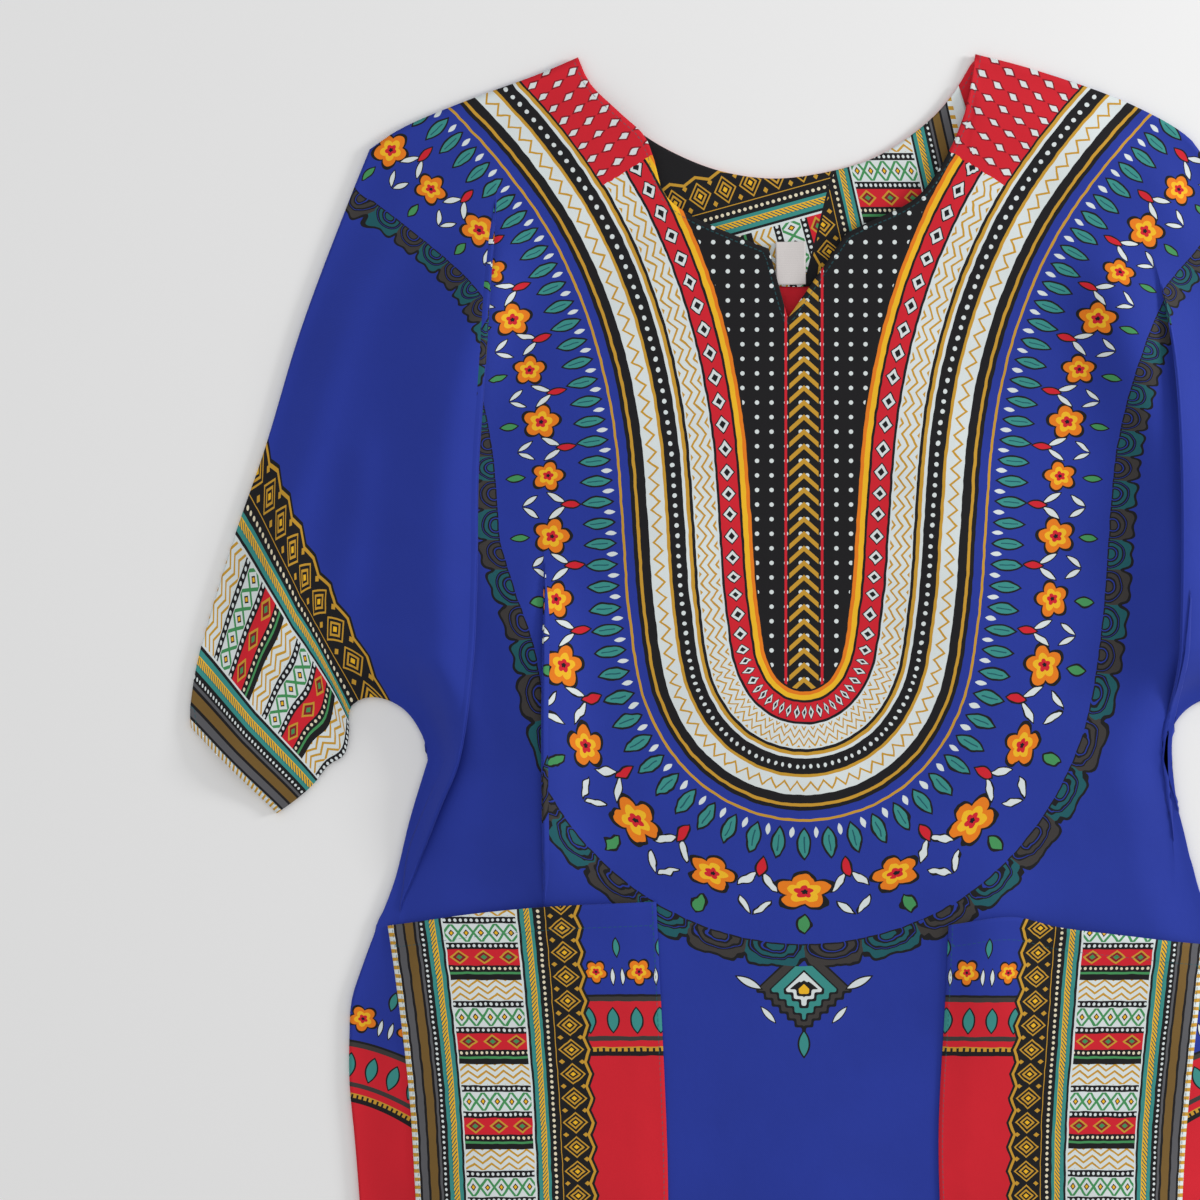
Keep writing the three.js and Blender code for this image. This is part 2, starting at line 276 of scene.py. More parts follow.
def lay_tucks(pattern_x, down):
    """Lays the flat cloth's x: past each tuck the cloth is drawn in by twice the lap, and inside
    the tuck it runs back under itself. Gives the laid x and the height that the laps add."""
    laid, height = pattern_x.copy(), np.zeros_like(pattern_x)
    for side, tucks in TUCKS.items():
        out = side * pattern_x
        hidden = np.zeros_like(out)
        for tuck in tucks:
            lap, strength = tuck.lap(down), tuck.strength(down)
            past = out - hidden - tuck.edge(down)
            start = lap if tuck.outer_on_top else 0.0
            taken = soft_clip(2 * (past - start), 2 * lap)
            hidden = hidden + taken * np.minimum(1, lap)  # eased where the lap is under 1 mm
            onto = past - 2 * lap if tuck.outer_on_top else -past
            behind = np.exp(-((onto / CREST_SPREAD) ** 2))
            at_edge = smooth(1 + onto / (1.5 * lap + 3))
            height = height + tuck.rise * strength * np.where(onto > 0, behind, at_edge)
        laid = laid - side * np.where(out > 0, hidden, 0)
    return laid, height


def hidden_outside(side, down):
    """Cloth hidden by all the tucks of one side, as it is past the last of them."""
    return sum(2 * tuck.lap(down) for tuck in TUCKS[side])


# ---- grids of the panels -----------------------------------------------------------------------
FRONT_ROWS, FRONT_STEPS = (90, 80), 56  # rows above and below the underarm; along a sleeve
BACK_ROWS, BACK_STEPS, BACK_COLUMNS = (60, 50), 34, 96
UNDERARM, HEM_LEVEL, NECK_LEVEL = 437.0, 778.0, 60.0
TOP_ROUNDS = 16  # rounds that settle each column's place on the top edge
INNER_EASE = 1.15  # draws the sleeve's rows towards the underarm
TUCK_MARGIN = 7  # flat cloth on each side of a tuck that its columns take in


def join_line(side):
    """The line where the sleeve leaves the body, as (out, down)."""
    return soft_run([SHOULDER[side][-1], (252, 200), (240, 330), (227.5, UNDERARM)])


JOIN = {side: join_line(side) for side in (-1, 1)}


def half_width(side, down):
    """Out of the centre at each height: where the sleeve leaves the body, then the flank."""
    join, flank = JOIN[side], EDGES[side]["flank"] * [side, 1]
    above = np.interp(down, join[:, 1], join[:, 0])
    return np.where(down < UNDERARM, above, np.interp(down, flank[:, 1], flank[:, 0]))


def neck_graph(neck_run):
    """The top boundary as depth over x: left shoulder, neck edge, right shoulder."""
    left, right = EDGES[-1]["shoulder"], EDGES[1]["shoulder"]
    run = np.vstack([left[::-1], neck_run[1:-1], right])
    return lambda x: np.interp(x, run[:, 0], run[:, 1])


FRONT_NECK = np.vstack([soft_run(FRONT_NECK_LEFT), [SLIT_END], soft_run(FRONT_NECK_RIGHT)])


def front_guides(down):
    """Lines of the flat cloth that the columns follow, left to right, at each height, and the
    number of columns up to the next: the edges, both sides of each tuck, and the neck's corners."""
    def around(side, tuck, inner):
        """The lines past and before a tuck; inner is the cloth hidden nearer the middle."""
        start = tuck.edge(down) + inner
        return [side * (start + 2 * tuck.lap(down) + TUCK_MARGIN), side * (start - TUCK_MARGIN)]

    chest_lap = 2 * CHEST_TUCK.lap(down)
    arm_out, arm_in = around(-1, ARM_TUCK, chest_lap)
    chest_out, chest_in = around(-1, CHEST_TUCK, 0)
    right_out, right_in = around(1, RIGHT_TUCK, 0)
    level = np.zeros_like(down)
    lines = [
        -half_width(-1, down) - hidden_outside(-1, down), arm_out, arm_in, chest_out, chest_in,
        level + FRONT_NECK_LEFT[0][0], level + FRONT_NECK_LEFT[-1][0], level + SLIT_END[0],
        level + FRONT_NECK_RIGHT[0][0], level + FRONT_NECK_RIGHT[-1][0], right_in, right_out,
        half_width(1, down) + hidden_outside(1, down),
    ]
    return lines, [10, 26, 8, 22, 4, 30, 5, 10, 22, 24, 18, 10]


def back_guides(down):
    """The back has no tucks, so its columns lie evenly between its two edges."""
    return [-half_width(-1, down), half_width(1, down)], [BACK_COLUMNS]


def body_grid(guides, neck_run, rows):
    """Columns run from the neck edge to the hem. Across, a point is a straight blend between two
    guide lines; down, it is a straight blend from the top edge to the underarm and on to the
    hem."""
    steps = guides(np.zeros(1))[1]
    share = np.r_[0, np.cumsum(steps)]
    column = np.arange(share[-1] + 1)
    band = np.clip(np.searchsorted(share, column, "right") - 1, 0, len(steps) - 1)
    blend = (column - share[band]) / np.array(steps)[band]

    def across(down):
        """Each column's x at the given heights."""
        lines = np.stack([np.broadcast_to(g, down.shape) for g in guides(down)[0]])
        index = np.broadcast_to(band, down.shape)
        low = np.take_along_axis(lines, index[None], 0)[0]
        high = np.take_along_axis(lines, index[None] + 1, 0)[0]
        return low + (high - low) * blend

    top_of = neck_graph(neck_run)
    top = np.full(column.shape, NECK_LEVEL)
    for _ in range(TOP_ROUNDS):
        top = top_of(across(top[None])[0])
    hem = np.vstack([EDGES[-1]["hem"], EDGES[1]["hem"][::-1][1:]])
    foot = np.interp(across(np.full((1, len(column)), HEM_LEVEL))[0], hem[:, 0], hem[:, 1])
    upper = top + (UNDERARM - top) * np.linspace(0, 1, rows[0] + 1)[:, None]
    lower = UNDERARM + (foot - UNDERARM) * np.linspace(0, 1, rows[1] + 1)[1:, None]
    down = np.vstack([upper, lower])
    return across(down), down


def sleeve_grid(side, join, steps):
    """A Coons patch: the blend of the outer fold with the inner edge, plus the blend of the line
    at the body with the cuff, less the blend of the four corners. join is the body's own column."""
    edges = EDGES[side]
    t = np.linspace(0, 1, steps + 1)[None, :, None]
    s = np.linspace(0, 1, len(join))[:, None, None]
    outer = at_share(np.vstack([edges["outer"], edges["cuff"][1:2]]), t[0, :, 0])[None]
    inner = at_share(edges["inner"][::-1], t[0, :, 0] ** INNER_EASE)[None]
    top = join[:, None, :]
    cuff = edges["cuff"][1] + (edges["cuff"][2] - edges["cuff"][1]) * s
    return coons(outer, inner, top, cuff, s, t)


def coons(start, stop, top, foot, s, t):
    """Straight blends of the two sides over s and of the two ends over t, less the corners'
    blend over both. Gives the points and s and t at each of them."""
    corners = (1 - s) * (1 - t) * top[:1, :1] + s * (1 - t) * top[-1:, -1:]
    corners = corners + (1 - s) * t * foot[:1, :1] + s * t * foot[-1:, -1:]
    points = (1 - s) * start + s * stop + (1 - t) * top + t * foot - corners
    shape = points.shape[:2]
    return points, np.broadcast_to(s[..., 0], shape), np.broadcast_to(t[..., 0], shape)


def quads(index):
    """Faces between neighbouring entries of a grid of vertex numbers."""
    a, b, c, d = index[:-1, :-1], index[1:, :-1], index[1:, 1:], index[:-1, 1:]
    return np.stack([a, b, c, d], -1).reshape(-1, 4)


def shirt_panel(guides, neck_run, tucked, rows, steps):
    """The body grid with a sleeve grid joined to each side of it. Gives the flat cloth's x, the
    laid x, down, the height that tucks add, the sleeve coordinates (across, along, side), faces."""
    flat_x, down = body_grid(guides, neck_run, rows)
    laid_x, raised = lay_tucks(flat_x, down) if tucked else (flat_x, np.zeros_like(flat_x))
    index = np.arange(flat_x.size).reshape(flat_x.shape)
    body = {"flat_x": flat_x, "x": laid_x, "down": down, "raised": raised}
    parts = {key: [value.ravel()] for key, value in body.items()}
    sleeve = [np.zeros((flat_x.size, 3))]
    faces, total = [quads(index)], flat_x.size
    for side, column in ((-1, 0), (1, -1)):
        upto = rows[0] + 1
        join = np.stack([laid_x[:upto, column], down[:upto, column]], -1)
        points, s, t = sleeve_grid(side, join, steps)
        x, low = points[:, 1:, 0], points[:, 1:, 1]
        shift = (flat_x - laid_x)[:upto, column][:, None] * (1 - t[:, 1:])
        height = lay_tucks(x + shift, low)[1] if tucked else np.zeros_like(x)
        number = total + np.arange(x.size).reshape(x.shape)
        grid = np.hstack([index[:upto, column][:, None], number])
        faces.append(quads(grid) if side > 0 else quads(grid)[:, ::-1])
        for key, value in (("flat_x", x + shift), ("x", x), ("down", low), ("raised", height)):
            parts[key].append(value.ravel())
        sleeve.append(np.stack([s[:, 1:].ravel(), t[:, 1:].ravel(), np.full(x.size, side)], -1))
        total += x.size
    out = {key: np.concatenate(value) for key, value in parts.items()}
    return out, np.vstack(sleeve), np.vstack(faces)


# ---- coordinates that the prints read ----------------------------------------------------------
PANEL_HALF = [
    (0, 468), (38, 460), (70, 437), (92, 400), (102, 345), (106, 290), (110, 240), (118, 195),
    (132, 150), (152, 108), (180, 68), (212, 32), (250, -4),
]  # half outline of the neck print: out from the print's centre, down
BORDER_TOP = {0.0: 0.5, 0.5: 0.45, 1.0: 0.33}  # share of the sleeve above its border, across it
BORDER_DEEP, SLEEVE_ACROSS, OFF_BORDER = 158.0, 120.0, 400.0
OUTLINE_STEPS = 10  # points to a span of the neck print's outline


def triple(first, second, third=0.0):
    """Three fields side by side, one row for each point."""
    return np.stack(np.broadcast_arrays(first, second, third), -1)


def panel_coordinates(x, down):
    """Distance travelled along the neck print's outline from its foot, signed by side, and the
    distance outside it, negative within."""
    out = x - PRINT_CENTRE
    mirrored = (-PANEL_HALF[1][0], PANEL_HALF[1][1])
    run = soft_run([mirrored, *PANEL_HALF], OUTLINE_STEPS)
    away, along, side = nearest(np.abs(out), down, run)
    along = np.maximum(along - lengths(run)[OUTLINE_STEPS], 0)
    return triple(along * np.sign(out), away * side)


def border_coordinates(sleeve):
    """Across the sleeve and up from the cuff, both in mm: the share of the sleeve below the
    border's upper edge is stretched to the border's depth."""
    across, share, side = sleeve.T
    top = np.interp(across, list(BORDER_TOP), list(BORDER_TOP.values()))
    up = BORDER_DEEP * (1 - share) / (1 - top)
    return triple(across * SLEEVE_ACROSS, np.where(side == 0, OFF_BORDER, up), side)


def edge_coordinates(x, down, neck_run):
    """Distance from the nearest hemmed edge, and the distance along that edge."""
    runs = [neck_run] + [EDGES[s][k] for s in (-1, 1) for k in ("cuff", "hem")]
    found = [nearest(x, down, run)[:2] for run in runs]
    gaps = np.stack([f[0] for f in found])
    pick = gaps.argmin(0)[None]
    along = np.take_along_axis(np.stack([f[1] for f in found]), pick, 0)[0]
    return triple(gaps.min(0), along)


def panel_fields(flat_x, x, down, sleeve, neck_run):
    """The coordinates that a panel's prints read, all in mm."""
    return {
        "flat": triple(flat_x - PRINT_CENTRE, down),
        "panel": panel_coordinates(flat_x, down),
        "border": border_coordinates(sleeve),
        "edge": edge_coordinates(x, down, neck_run),
    }


# ---- meshes ------------------------------------------------------------------------------------
def new_piece(name, x, down, z, faces, fields, wall, material):
    """A mesh from laid positions in mm, with its coordinate fields stored on its points and a
    wall of even thickness below its upper face."""
    mesh = bpy.data.meshes.new(name)
    co = np.stack([x, MIDDLE - down, z], -1) * MM
    mesh.from_pydata(co.tolist(), [], faces.tolist())
    for field, values in fields.items():
        layer = mesh.attributes.new(field, "FLOAT_VECTOR", "POINT")
        layer.data.foreach_set("vector", np.ascontiguousarray(values, np.float32).ravel())
    mesh.polygons.foreach_set("use_smooth", np.ones(len(faces), bool))
    mesh.materials.append(material)
    mesh.update()
    piece = bpy.data.objects.new(name, mesh)
    bpy.context.scene.collection.objects.link(piece)
    shell = piece.modifiers.new("Wall", "SOLIDIFY")
    shell.thickness, shell.offset, shell.use_even_offset = wall * MM, -1, False
    shell.use_quality_normals = True
    return piece


def declare(piece, node, area):
    """Attaches a piece to the root body and hides the imported part that it stands for. The area is
    not used.
    """
    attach(piece, "root")
    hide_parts(node)


def flat_area(x, down, faces):
    """Area of the cut in square metres: the sum of the faces on the flat cloth."""
    px, py = x[faces], down[faces]
    cross = (px[:, 2] - px[:, 0]) * (py[:, 3] - py[:, 1])
    cross = cross - (px[:, 3] - px[:, 1]) * (py[:, 2] - py[:, 0])
    return float(np.abs(cross).sum() / 2) * MM * MM


def patch(top, foot, across, steps):
    """A ruled surface from an upper run to a lower run: straight blends between points at the
    same share of the two lengths. Gives x, down, faces and the share of the way down."""
    share = np.linspace(0, 1, across + 1)
    t = np.linspace(0, 1, steps + 1)[:, None, None]
    grid = (1 - t) * at_share(top, share) + t * at_share(foot, share)
    index = np.arange(grid.shape[0] * grid.shape[1]).reshape(grid.shape[:2])
    t = np.broadcast_to(t[..., 0], index.shape)
    return grid[..., 0].ravel(), grid[..., 1].ravel(), quads(index), t.ravel()


# ---- shader maths ------------------------------------------------------------------------------
class Wire:
    """One output socket of a material, with the arithmetic that the prints need."""

    def __init__(self, ink, socket):
        self.ink, self.socket = ink, socket

    def _do(self, operation, *values):
        return self.ink.math(operation, *values)

    def __add__(self, other):
        return self._do("ADD", self, other)

    def __sub__(self, other):
        return self._do("SUBTRACT", self, other)

    def __rsub__(self, other):
        return self._do("SUBTRACT", other, self)

    def __mul__(self, other):
        return self._do("MULTIPLY", self, other)

    def __truediv__(self, other):
        return self._do("DIVIDE", self, other)

    def __abs__(self):
        return self._do("ABSOLUTE", self)

    def __lt__(self, other):
        return self._do("LESS_THAN", self, other)

    def __gt__(self, other):
        return self._do("GREATER_THAN", self, other)

    __radd__, __rmul__ = __add__, __mul__

    def within(self, low, high):
        """1 between the two limits, else 0."""
        return self._do("COMPARE", self, (low + high) / 2, (high - low) / 2)

    def fold(self, pitch):
        """Distance to the nearest multiple of pitch."""
        return self._do("PINGPONG", self, pitch / 2)

    def odd(self, pitch):
        """1 on every second stretch of length pitch centred on its multiples, else 0."""
        return self._do("FLOORED_MODULO", self + pitch / 2, 2 * pitch) > pitch


class Ink:
    """Builds the node tree of one cloth. Every node comes from node()."""

    def __init__(self, name):
        self.material = bpy.data.materials.new(name)
        self.material.use_nodes = True
        self.tree = self.material.node_tree
        self.tree.nodes.clear()

    def node(self, kind, settings=(), values=()):
        """Adds a node: first its settings, then the values or links of its sockets."""
        made = self.tree.nodes.new(kind)
        for key, value in dict(settings).items():
            if key == "stops":
                self._set_stops(made.color_ramp, value)
            else:
                setattr(made, key, value)
        for key, value in dict(values).items():
            socket = made.inputs[key]
            if isinstance(value, Wire):
                self.tree.links.new(value.socket, socket)
            else:
                socket.default_value = value
        return made

    @staticmethod
    def _set_stops(ramp, stops):
        ramp.interpolation = "CONSTANT"
        for i, (place, colour) in enumerate(stops):
            stop = ramp.elements[i] if i < 2 else ramp.elements.new(min(place, 1.0))
            stop.position, stop.color = place, (*colour, 1)

    def finished(self, surface):
        """Joins the shader to the output and gives the material."""
        self.node("ShaderNodeOutputMaterial", (), {"Surface": Wire(self, surface.outputs[0])})
        return self.material

    def math(self, operation, *values):
        made = self.node("ShaderNodeMath", {"operation": operation}, enumerate(values))
        return Wire(self, made.outputs[0])

    def mix(self, base, mask, colour):
        """The base where the mask is 0, the colour where it is 1."""
        values = {0: mask, 6: self.paint(base), 7: self.paint(colour)}
        made = self.node("ShaderNodeMix", {"data_type": "RGBA"}, values)
        return Wire(self, made.outputs[2])

    @staticmethod
    def paint(colour):
        return colour if isinstance(colour, Wire) else (*colour, 1)

    def bands(self, value, whole, limits):
        """Flat bands of colour: limits holds (start, colour) from 0 up to whole."""
        stops = [(start / whole, colour) for start, colour in limits]
        made = self.node("ShaderNodeValToRGB", {"stops": stops}, {"Fac": value / whole})
        return Wire(self, made.outputs["Color"])

    def field(self, name):
        """A coordinate field of the piece, whole and as its three parts."""
        made = self.node("ShaderNodeAttribute", {"attribute_name": name})
        split = self.node("ShaderNodeSeparateXYZ", (), {0: Wire(self, made.outputs["Vector"])})
        return Wire(self, made.outputs["Vector"]), [Wire(self, out) for out in split.outputs]

    def noise(self, vector, scale, detail=2.0):
        values = {"Vector": vector, "Scale": scale, "Detail": detail}
        return Wire(self, self.node("ShaderNodeTexNoise", (), values).outputs[0])

    # shapes: a value below 0 inside, about in mm
    def leaf(self, u, v, half_wide, half_long):
        return abs(u) - (1 - (v / half_long) * (v / half_long)) * half_wide

    def reach(self, u, v):
        return self.math("SQRT", u * u + v * v)

    def disc(self, u, v, radius):
        return self.reach(u, v) - radius

    def lozenge(self, u, v, half_wide, half_long):
        return (abs(u) / half_wide + abs(v) / half_long - 1) * min(half_wide, half_long)

    def stamp(self, base, shape, fill, line=None, width=0.9):
        """Lays a shape on the base: its outline first, then its fill inside the outline."""
        if line is not None:
            base = self.mix(base, shape < 0, line)
            return self.mix(base, shape < -width, fill)
        return self.mix(base, shape < 0, fill)

    def nested(self, base, shape, fills, mask=1.0):
        """Lays each fill where the shape is deeper than its step, within the mask."""
        for step, fill in fills:
            base = self.mix(base, (shape < -step) * mask, fill)
        return base


# ---- colours -----------------------------------------------------------------------------------
def dye(red, green, blue):
    """Linear colour from screen values 0 to 255."""
    share = np.array([red, green, blue]) / 255
    linear = np.where(share <= 0.04045, share / 12.92, ((share + 0.055) / 1.055) ** 2.4)
    return tuple(float(v) for v in linear)


BLACK, CHARCOAL, GREY = dye(22, 21, 24), dye(62, 58, 56), dye(92, 92, 96)
WHITE, CREAM, LABEL_WHITE = dye(224, 232, 232), dye(236, 226, 196), dye(222, 216, 214)
GOLD, DARK_GOLD = dye(206, 156, 48), dye(120, 92, 44)
YELLOW, ORANGE = dye(247, 190, 36), dye(238, 128, 24)
TEAL, DARK_TEAL, GREEN = dye(58, 146, 140), dye(26, 92, 100), dye(70, 150, 90)
RED, DARK_RED = dye(214, 30, 46), dye(140, 18, 32)


# ---- prints ------------------------------------------------------------------------------------
SHOULDER_START = 430  # along the neck print's outline, where its shoulders turn red
PENDANT_LEVEL, RING_OUTSIDE = 578, 96  # the pendant's middle; the ring's outer edge
CORNER_OUT, CORNER_DOWN, CORNER_REACH = 300, 765, 195  # centre and radius of the corner print
CORNER_TOP = 560
BANDS_DEEP = 122  # depth for which the border's bands are written


def striped_border(ink, base, up, along, deep=BANDS_DEEP):
    """The woven-look border, deep mm across: stripes up from the edge, a ladder of blocks in the
    middle, then a black band of nested lozenges with a scalloped gold edge."""
    u = up * (BANDS_DEEP / deep)
    scallop = along.fold(15) * 0.42
    stripes = ink.bands(u, 130, [
        (0, WHITE), (3.5, BLACK), (5, GREY), (9, BLACK), (10.5, DARK_GOLD), (15.5, BLACK),
        (17, GREY), (18.5, BLACK), (23, TEAL), (25.4, YELLOW), (29, TEAL), (31.5, BLACK),
        (33.5, WHITE), (80, BLACK),
        (81.5, TEAL), (84, YELLOW), (87.4, TEAL), (89.5, BLACK), (96.5, GOLD), (97.3, BLACK),
    ])
    colour = ink.mix(stripes, u.within(0, 3.5) * (along.fold(5) < 1.1), GOLD)
    # slanted threads in both woven stripes
    twill = (along + u * 1.3).fold(2.6) < 0.5
    for low, high in ((25.4, 29), (84, 87.4)):
        colour = ink.mix(colour, twill * u.within(low, high), DARK_TEAL)
    # beads on the black stripes
    colour = ink.stamp(colour, ink.disc(along.fold(3.2), u - 20.7, 0.85), WHITE)
    colour = ink.stamp(colour, ink.disc((along + 1).fold(3.4), u - 93, 1.0), CREAM)
    # the ladder: blocks along the border
    ladder, middle = 52.0, 57
    step = ink.math("FLOORED_MODULO", along, ladder)
    blocks = ink.bands(step, ladder, [
        (0, WHITE), (13, BLACK), (17, WHITE), (29, BLACK), (33, RED), (43, BLACK), (47, GREEN),
        (48.5, BLACK),
    ])
    slope = (u - middle).fold(11.5)
    chevrons = ((step + slope * 0.7).fold(4.2) < 0.75) * (step < 12.4)
    blocks = ink.mix(blocks, chevrons, GOLD)
    mesh = (u - middle).fold(9.2)
    net, in_net = abs((step - 23).fold(12) / 6 + mesh / 4.6 - 1), step.within(17.5, 28.5)
    blocks = ink.mix(blocks, (net < 0.2) * in_net, GREEN)
    eye = ink.lozenge(step - 23, mesh, 2.3, 1.9)
    blocks = ink.nested(blocks, eye, [(0, BLACK), (0.8, YELLOW)], in_net)
    bead_rows = (step - 15).fold(16) + step.within(40, 60) * 9
    blocks = ink.stamp(blocks, ink.disc(bead_rows, (u + 1).fold(3.3), 0.95), WHITE)
    blocks = ink.stamp(blocks, ink.disc(step - 45, u.fold(3.3), 0.9), CREAM)
    gem = ink.lozenge(step - 38, (u - middle).fold(15.3), 4.4, 6.0)
    gem_fills = [(0, GOLD), (1.3, DARK_RED), (2.9, GREEN)]
    blocks = ink.nested(blocks, gem, gem_fills, step.within(33.4, 42.6))
    colour = ink.mix(colour, u.within(34.5, 79), blocks)
    # nested lozenges, each beside a small one
    v, w = along.fold(15), abs(u - 107)
    lozenges = ink.bands(v / 6.6 + w / 8.2, 2.4, [
        (0, YELLOW), (0.22, BLACK), (0.42, GOLD), (0.62, BLACK), (0.86, GOLD), (1.02, BLACK),
    ])
    lozenges = ink.stamp(lozenges, ink.lozenge(7.5 - v, w - 6.5, 1.5, 1.9), GOLD)
    colour = ink.mix(colour, u.within(98.6, 117), lozenges)
    colour = ink.mix(colour, u > 117.5 - scallop, GOLD)
    colour = ink.mix(colour, u > 119.3 - scallop, BLACK)
    return ink.mix(base, u < 121 - scallop, colour)


def rosettes(ink, base, along, out, pitch, radius):
    """Five-petalled flowers: the radius swells and shrinks five times round, and the colour goes
    from a red heart through yellow and orange to a black outline."""
    u, v = along.fold(pitch), out
    angle = ink.math("ARCTAN2", v, u)
    petal = abs(ink.math("COSINE", angle * 2.5 + 0.785)) * 0.34 + 0.66
    size = radius * (1 - along.odd(pitch) * 0.14)
    reach = ink.reach(u, v) / (petal * size)
    flower = ink.bands(reach, 1.25, [
        (0, BLACK), (0.13, RED), (0.34, YELLOW), (0.62, ORANGE), (0.96, BLACK),
    ])
    return ink.mix(base, reach < 1.14, flower)


def leaning(u, v):
    """Both coordinates turned by about 33 degrees."""
    return u * 0.84 - v * 0.54, u * 0.54 + v * 0.84


def neck_print(ink, base, along, out, x, down):
    """Nested bands round a black tongue inside the outline, and outside it leaves, flowers with
    seeds, and shells."""
    # leaves, each between two seeds
    leaf = ink.leaf(along.fold(13), out - 20.5, 4.0, 10.5)
    colour = ink.stamp(base, leaf, TEAL, BLACK, 1.15)
    seed = ink.leaf((along + 6.5).fold(13), out - 13.5, 1.4, 3.6)
    colour = ink.mix(colour, seed < 0, WHITE)
    vein = abs(along.fold(13)) < 0.35
    colour = ink.mix(colour, vein * out.within(16, 26), DARK_TEAL)
    # flowers with paired seeds and a bud between
    colour = rosettes(ink, colour, along, out - 50, 38, 11.5)
    u = (along + 19).fold(38)
    for v, off, half_wide, half_long in ((out - 46, 4.6, 2.3, 7.2), (62 - out, 3.6, 2.1, 6.4)):
        seed = ink.leaf(*leaning(u - off, v), half_wide, half_long)
        colour = ink.stamp(colour, seed, WHITE, BLACK, 0.7)
    colour = ink.stamp(colour, ink.leaf(u, out - 37, 3.0, 7.0), RED, BLACK, 1.0)
    colour = ink.stamp(colour, ink.leaf(along.fold(38), out - 70, 3.0, 6.5), GREEN, BLACK, 1.0)
    # shells, teal and charcoal in turn
    u, v = (along + 9.5).fold(19), out - 84
    radius = ink.reach(u, v)
    teeth = ink.math("COSINE", ink.math("ARCTAN2", u, v) * 7)
    shell = radius.within(5.2, 7.0) + radius.within(9.0, 12.4 - teeth * 1.1) + (radius < 2.8)
    shell = shell * (v > -0.8)
    tint = ink.mix(DARK_TEAL, (along + 9.5).odd(19), CHARCOAL)
    dark = radius.within(4.2, 8.0) + radius.within(8.3, 14 - teeth * 1.2) + (radius < 3.6)
    colour = ink.mix(colour, dark * (v > -1.7), BLACK)
    colour = ink.mix(colour, shell, tint)
    colour = ink.mix(colour, out.within(5.2, 6.8), GOLD)
    # the nested bands
    inward = 0 - out
    bands = ink.bands(inward, 80, [
        (0, BLACK), (2.2, GOLD), (4.2, BLACK), (9.5, WHITE), (20.5, GOLD), (22.3, BLACK),
        (32, WHITE), (33.8, GOLD), (36, BLACK), (38, WHITE), (53, BLACK), (54.6, RED),
        (66.5, BLACK), (68, YELLOW), (71, ORANGE), (73.4, BLACK),
    ])
    wave = abs(inward - 15 - (along.fold(10) - 2.5) * 1.1) < 0.9
    bands = ink.mix(bands, wave * inward.within(9.8, 20.2), GOLD)
    bands = ink.stamp(bands, ink.disc(along.fold(6.2), inward - 27.1, 1.35), WHITE)
    chevron = ((inward - along.fold(12) * 0.8).fold(5) < 0.75) * inward.within(39, 52)
    bands = ink.mix(bands, chevron, GOLD)
    gem = ink.lozenge(along.fold(13), inward - 60.5, 5.4, 5.0)
    bands = ink.nested(bands, gem, [(0, BLACK), (0.9, WHITE), (2.9, BLACK)])
    # the tongue: rows of beads beside a spine of chevrons
    tongue = ink.stamp(BLACK, ink.disc((abs(x) - 20).fold(9), down.fold(9), 1.35), WHITE)
    spine = ((down - abs(x) * 0.9).fold(9) < 1.7) * (abs(x) < 9)
    tongue = ink.mix(tongue, spine, GOLD)
    tongue = ink.mix(tongue, abs(x).within(10.4, 12), RED)
    bands = ink.mix(bands, inward > 74.6, tongue)
    # red shoulders beside the neck
    hill = ink.lozenge((along + 4.5).fold(9), (inward - 41).fold(12), 1.7, 3.6)
    red = ink.nested(RED, hill, [(-0.9, DARK_RED), (0, WHITE)])
    bands = ink.mix(bands, (inward > 37.5) * (abs(along) > SHOULDER_START), red)
    return ink.mix(colour, out < 0, bands)


def corner_print(ink, base, reach, along):
    """Nested bands round a red field at the foot of the side seams."""
    colour = ink.bands(reach, 240, [
        (0, RED), (119, BLACK), (121, GOLD), (124, RED), (128, CHARCOAL), (131, RED),
        (152, CHARCOAL), (155, BLACK),
    ])
    colour = ink.mix(colour, reach.within(121, 124) * (along.fold(4) < 0.8), BLACK)
    drop = ink.leaf(along.fold(15), reach - 141, 4.4, 8.5)
    colour = ink.stamp(colour, drop, TEAL, BLACK, 1.1)
    colour = ink.mix(base, reach < 157, colour)
    colour = rosettes(ink, colour, along + 9, reach - 171, 27, 8.0)
    u = (along + 22.5).fold(27)
    colour = ink.stamp(colour, ink.leaf(u - 3.0, reach - 168, 1.7, 6.0), WHITE, BLACK, 0.6)
    colour = ink.stamp(colour, ink.leaf(u, reach - 186, 2.6, 6.5), TEAL, BLACK, 0.9)
    return colour


def finish_cloth(ink, colour, weave_vector):
    """Cotton: small changes of colour, a plain weave and slubs in the bump, and a matt surface."""
    cloudy = ink.noise(weave_vector, 0.018, 3.0)
    fibre = ink.noise(weave_vector, 1.4, 2.0)
    shade = ink.math("MULTIPLY_ADD", cloudy, 0.22, 0.8) + fibre * 0.14
    scale = ink.node("ShaderNodeVectorMath", {"operation": "SCALE"}, {0: colour, 3: shade})
    tinted = Wire(ink, scale.outputs[0])
    split = ink.node("ShaderNodeSeparateXYZ", (), {0: weave_vector})
    warp, weft = (ink.math("SINE", Wire(ink, split.outputs[i]) * 5.2) for i in (0, 1))
    creases = ink.noise(weave_vector, 0.03, 4.0)
    height = warp * weft * 0.03 + fibre * 0.08 + creases * 1.6
    relief = {"Strength": 0.35, "Distance": 0.0012, "Height": height}
    bump = ink.node("ShaderNodeBump", (), relief)
    rough = ink.math("MULTIPLY_ADD", fibre, 0.16, 0.72)
    surface = ink.node("ShaderNodeBsdfPrincipled", (), {
        "Base Color": tinted, "Roughness": rough, "Normal": Wire(ink, bump.outputs[0]),
        "Sheen Weight": 0.06, "Specular IOR Level": 0.25,
    })
    return ink.finished(surface)


